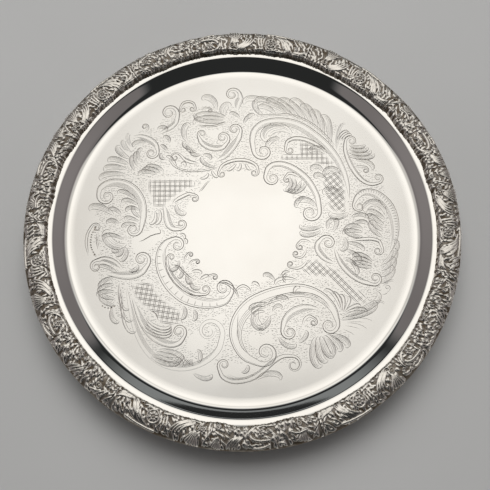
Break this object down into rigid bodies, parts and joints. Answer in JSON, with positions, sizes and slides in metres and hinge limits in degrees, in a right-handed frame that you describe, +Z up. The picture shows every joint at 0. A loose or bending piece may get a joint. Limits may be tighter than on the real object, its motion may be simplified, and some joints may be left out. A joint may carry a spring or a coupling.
{
  "type": "round footed salver",
  "caption": "Round silver-plated serving salver with a flat engraved field, curved booge, cast floral border and low scroll feet.",
  "frame": {"origin": "centre of the plane that the four feet stand on", "axes": "+Z up along the plate's axis; +X and +Y lie midway between neighbouring feet"},
  "size_m": [0.3048, 0.3048, 0.0337],
  "materials": {
    "polished_silver": "bright mirror polish on the booge and band, fine hand-rubbed haze on the engraved field",
    "antiqued_silver": "stamped and cast relief, polished on its high points with brown-grey tarnish left in the hollows",
    "plain_silver": "plain drawn and rolled pieces under the plate, softly polished"
  },
  "bodies": {
    "root": {"plate": "polished_silver", "border_a_1": "antiqued_silver", "border_a_2": "antiqued_silver", "border_a_3": "antiqued_silver", "border_b_1": "antiqued_silver", "border_b_2": "antiqued_silver", "border_b_3": "antiqued_silver", "border_closing": "antiqued_silver", "edge_wire": "plain_silver", "foot_1": "antiqued_silver", "foot_2": "antiqued_silver", "foot_3": "antiqued_silver", "foot_4": "antiqued_silver", "foot_patch_1": "plain_silver", "foot_patch_2": "plain_silver", "foot_patch_3": "plain_silver", "foot_patch_4": "plain_silver"}
  },
  "joints": []
}
